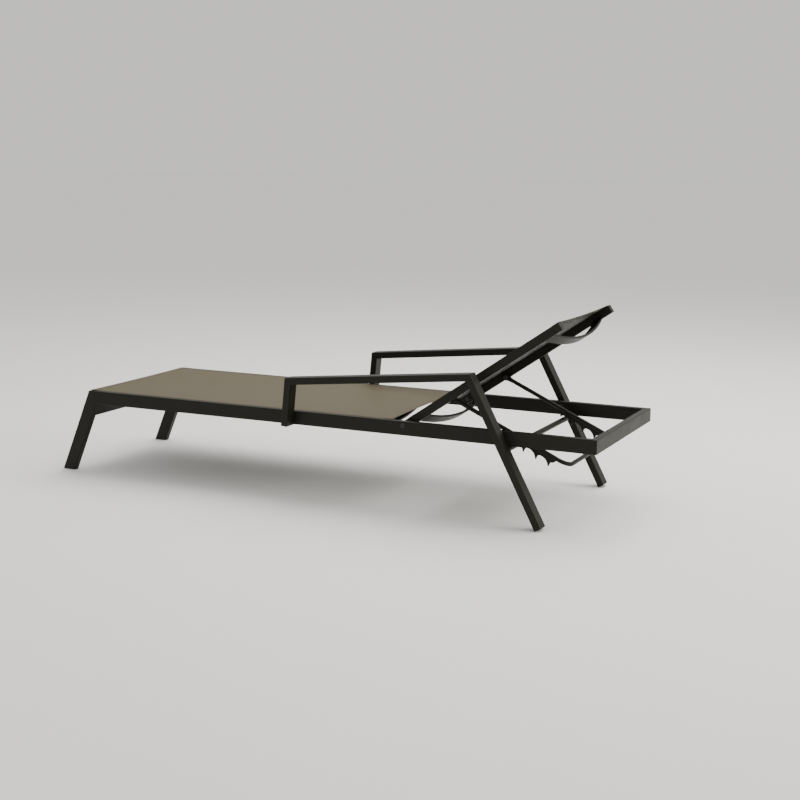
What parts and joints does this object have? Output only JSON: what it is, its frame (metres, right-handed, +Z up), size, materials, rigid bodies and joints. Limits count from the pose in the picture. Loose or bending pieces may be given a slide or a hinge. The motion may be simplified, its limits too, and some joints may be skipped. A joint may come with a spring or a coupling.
{
  "type": "reclining sun lounger",
  "caption": "Reclining sun lounger: flat-tube frame with arm frames, textile seat and back slings, and a backrest held up by a toothed prop on a catch bar.",
  "frame": {"origin": "on the ground under the middle of the bounding box", "axes": "+Z up, +X towards the head end, -Y on the sitter's left"},
  "size_m": [2.184, 0.752, 0.6996],
  "materials": {
    "sling": "woven textilene, taupe",
    "nylon_white": "plain",
    "nylon": "plain",
    "black_plastic": "fine texture",
    "zinc_steel": "satin, dark",
    "powder_steel": "dark fine-texture powder coat",
    "powder_aluminium": "dark fine-texture powder coat"
  },
  "bodies": {
    "frame": {"arm_bar_left": "powder_aluminium", "arm_bar_right": "powder_aluminium", "arm_bolt_inserts": "zinc_steel", "arm_bolts": "zinc_steel", "arm_post_caps": "black_plastic", "arm_post_left": "powder_aluminium", "arm_post_right": "powder_aluminium", "back_pivot_bolts": "zinc_steel", "back_pivot_nuts": "zinc_steel", "catch_bar": "powder_steel", "foot_glides": "black_plastic", "foot_leg_left": "powder_aluminium", "foot_leg_right": "powder_aluminium", "foot_rail": "powder_aluminium", "head_rail": "powder_aluminium", "rear_leg_caps": "black_plastic", "rear_leg_left": "powder_aluminium", "rear_leg_right": "powder_aluminium", "seat_keder_rods": "nylon_white", "seat_sling": "sling", "seat_spreader_middle": "powder_aluminium", "seat_spreader_rear": "powder_aluminium", "side_rail_left": "powder_aluminium", "side_rail_right": "powder_aluminium"},
    "back_bushes": {"back_pivot_bushes": "nylon"},
    "backrest": {"back_keder_rods": "nylon_white", "back_rail_caps": "black_plastic", "back_rail_left": "powder_aluminium", "back_rail_right": "powder_aluminium", "back_sling": "sling", "back_spreader_lower": "powder_aluminium", "back_spreader_upper": "powder_aluminium", "prop_bracket_left": "powder_aluminium", "prop_bracket_right": "powder_aluminium", "prop_pins": "zinc_steel"},
    "prop_bushes": {"prop_bushes": "nylon"},
    "prop": {"prop_arm_left": "powder_steel", "prop_arm_right": "powder_steel", "prop_handle": "powder_steel", "ratchet_left": "powder_steel", "ratchet_right": "powder_steel"}
  },
  "joints": [
    {"name": "back_lower", "type": "hinge", "parent": "frame", "child": "back_bushes", "pos_m": [0.387, 0, 0.307], "axis": [0, -1, 0], "range_deg": [-34.4, 0]},
    {"name": "back_raise", "type": "hinge", "parent": "back_bushes", "child": "backrest", "pos_m": [0.387, 0, 0.307], "axis": [0, -1, 0], "range_deg": [0, 48.6]},
    {"name": "prop_lower", "type": "hinge", "parent": "backrest", "child": "prop_bushes", "pos_m": [0.54818, 0, 0.40525], "axis": [0, -1, 0], "range_deg": [0, 53.9]},
    {"name": "prop_raise", "type": "hinge", "parent": "prop_bushes", "child": "prop", "pos_m": [0.54818, 0, 0.40525], "axis": [0, -1, 0], "range_deg": [-50.9, 0]}
  ],
  "couplings": [
    {"joint": "prop_lower", "follows": "back_lower", "ratio": -1.564},
    {"joint": "prop_raise", "follows": "back_raise", "ratio": -1.045}
  ]
}
